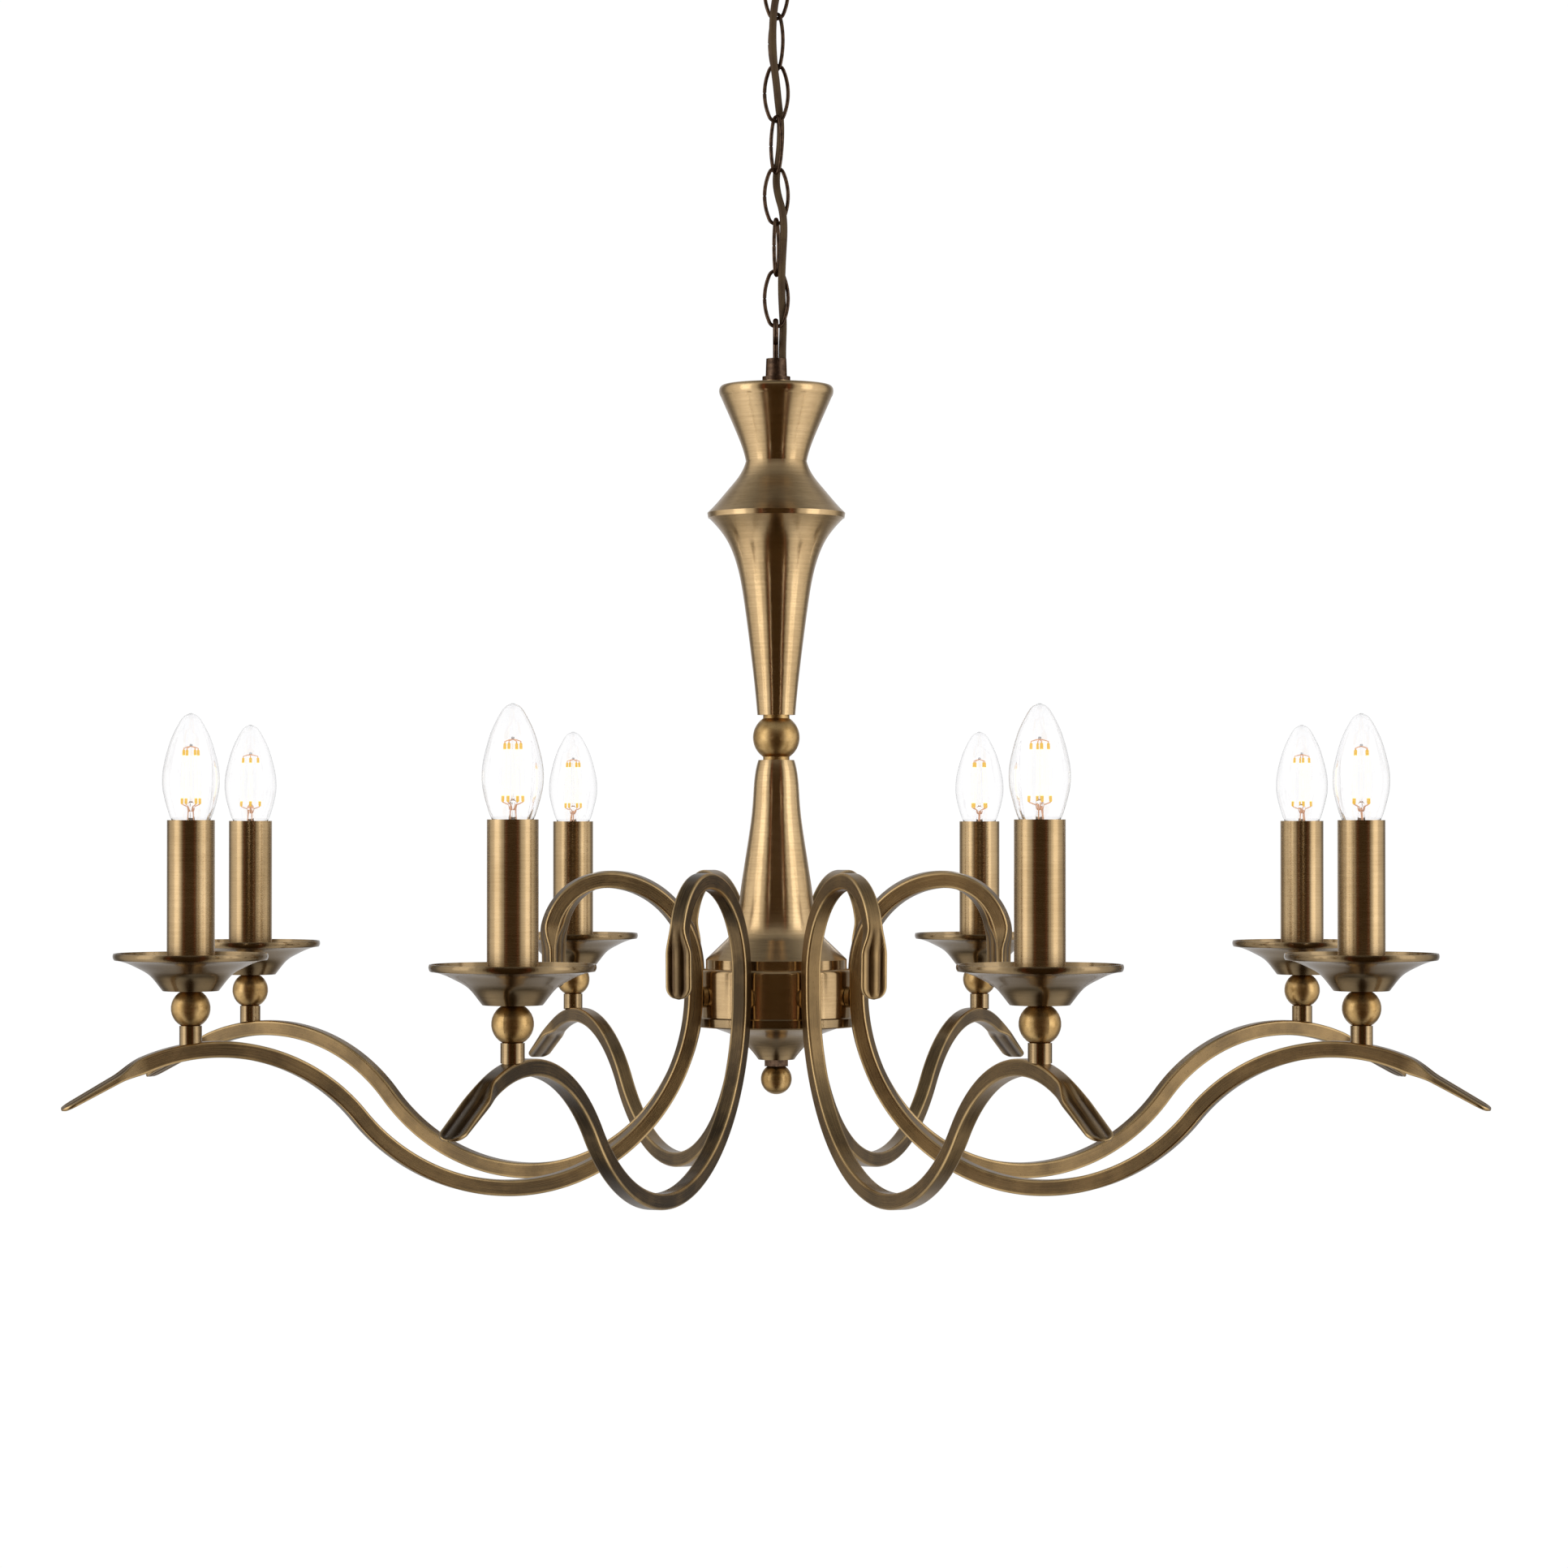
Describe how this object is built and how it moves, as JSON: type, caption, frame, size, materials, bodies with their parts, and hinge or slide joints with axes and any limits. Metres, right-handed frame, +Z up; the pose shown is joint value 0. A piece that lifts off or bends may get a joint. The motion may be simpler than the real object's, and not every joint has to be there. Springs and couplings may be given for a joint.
{
  "type": "multi arm chandelier",
  "caption": "Hanging chandelier with scrolled square-tube arms, candle sleeves with clear candle lamps, a turned column and a chain with its flex and ceiling rose.",
  "frame": {"origin": "the ceiling plane at the centre of the rose; the chandelier hangs below it", "axes": "+Z up the column, +X to the right and +Y away from the viewer in front"},
  "size_m": [0.862, 0.862, 0.8805],
  "materials": {
    "antique_brass": "brushed and darkened, worn bright at the edges",
    "dark_bronze": "dark bronzed, semi-gloss",
    "zinc_steel": "zinc plated",
    "flex_cover": "translucent gold-brown flexible cover",
    "moulded_plastic": "matt moulding",
    "wire_cover": "wire insulation",
    "clear_glass": "clear, lit"
  },
  "bodies": {
    "ceiling": {"ceiling_plate": "zinc_steel", "ceiling_rose": "dark_bronze", "ceiling_loop": "dark_bronze", "terminal_block": "moulded_plastic", "flex_top": "flex_cover"},
    "upper_link": {"chain_link_top": "dark_bronze", "flex_middle": "flex_cover"},
    "chain": {"chain_links": "dark_bronze", "flex_bottom": "flex_cover"},
    "fixture": {"column_loop": "dark_bronze", "top_cup": "antique_brass", "shoulder_cone": "antique_brass", "trumpet": "antique_brass", "column_ball": "antique_brass", "bell": "antique_brass", "hub_drum": "antique_brass", "hub_plate": "antique_brass", "hub_connector": "moulded_plastic", "bottom_cap": "antique_brass", "finial_nut": "antique_brass", "finial_ball": "antique_brass", "centre_rod": "zinc_steel", "arm_bolts": "zinc_steel", "arm_washers": "antique_brass", "arm_wires": "wire_cover", "candle_stems": "antique_brass", "candle_balls": "antique_brass", "lampholders": "moulded_plastic", "arm_1": "antique_brass", "arm_2": "antique_brass", "arm_3": "antique_brass", "arm_4": "antique_brass", "arm_5": "antique_brass", "arm_6": "antique_brass", "arm_7": "antique_brass", "arm_8": "antique_brass", "pan_1": "antique_brass", "pan_2": "antique_brass", "pan_3": "antique_brass", "pan_4": "antique_brass", "pan_5": "antique_brass", "pan_6": "antique_brass", "pan_7": "antique_brass", "pan_8": "antique_brass", "sleeve_1": "antique_brass", "sleeve_2": "antique_brass", "sleeve_3": "antique_brass", "sleeve_4": "antique_brass", "sleeve_5": "antique_brass", "sleeve_6": "antique_brass", "sleeve_7": "antique_brass", "sleeve_8": "antique_brass"},
    "lamp_1": {"bulb_1": "clear_glass"},
    "lamp_2": {"bulb_2": "clear_glass"},
    "lamp_3": {"bulb_3": "clear_glass"},
    "lamp_4": {"bulb_4": "clear_glass"},
    "lamp_5": {"bulb_5": "clear_glass"},
    "lamp_6": {"bulb_6": "clear_glass"},
    "lamp_7": {"bulb_7": "clear_glass"},
    "lamp_8": {"bulb_8": "clear_glass"}
  },
  "joints": [
    {"name": "chain_swing_side", "type": "hinge", "parent": "ceiling", "child": "upper_link", "pos_m": [0, 0, -0.0961], "axis": [0, 1, 0], "range_deg": [-25, 25], "deforming": ["flex_top"]},
    {"name": "chain_swing_front", "type": "hinge", "parent": "upper_link", "child": "chain", "pos_m": [0, 0, -0.1286], "axis": [1, 0, 0], "range_deg": [-20, 20], "deforming": ["flex_middle"]},
    {"name": "column_swing", "type": "hinge", "parent": "chain", "child": "fixture", "pos_m": [0, 0, -0.3272], "axis": [1, 0, 0], "range_deg": [-20, 20], "deforming": ["flex_bottom"]},
    {"name": "lamp_1_out", "type": "slide", "parent": "fixture", "child": "lamp_1", "axis": [0, 0, 1], "range_m": [0, 0.045]},
    {"name": "lamp_2_out", "type": "slide", "parent": "fixture", "child": "lamp_2", "axis": [0, 0, 1], "range_m": [0, 0.045]},
    {"name": "lamp_3_out", "type": "slide", "parent": "fixture", "child": "lamp_3", "axis": [0, 0, 1], "range_m": [0, 0.045]},
    {"name": "lamp_4_out", "type": "slide", "parent": "fixture", "child": "lamp_4", "axis": [0, 0, 1], "range_m": [0, 0.045]},
    {"name": "lamp_5_out", "type": "slide", "parent": "fixture", "child": "lamp_5", "axis": [0, 0, 1], "range_m": [0, 0.045]},
    {"name": "lamp_6_out", "type": "slide", "parent": "fixture", "child": "lamp_6", "axis": [0, 0, 1], "range_m": [0, 0.045]},
    {"name": "lamp_7_out", "type": "slide", "parent": "fixture", "child": "lamp_7", "axis": [0, 0, 1], "range_m": [0, 0.045]},
    {"name": "lamp_8_out", "type": "slide", "parent": "fixture", "child": "lamp_8", "axis": [0, 0, 1], "range_m": [0, 0.045]}
  ]
}
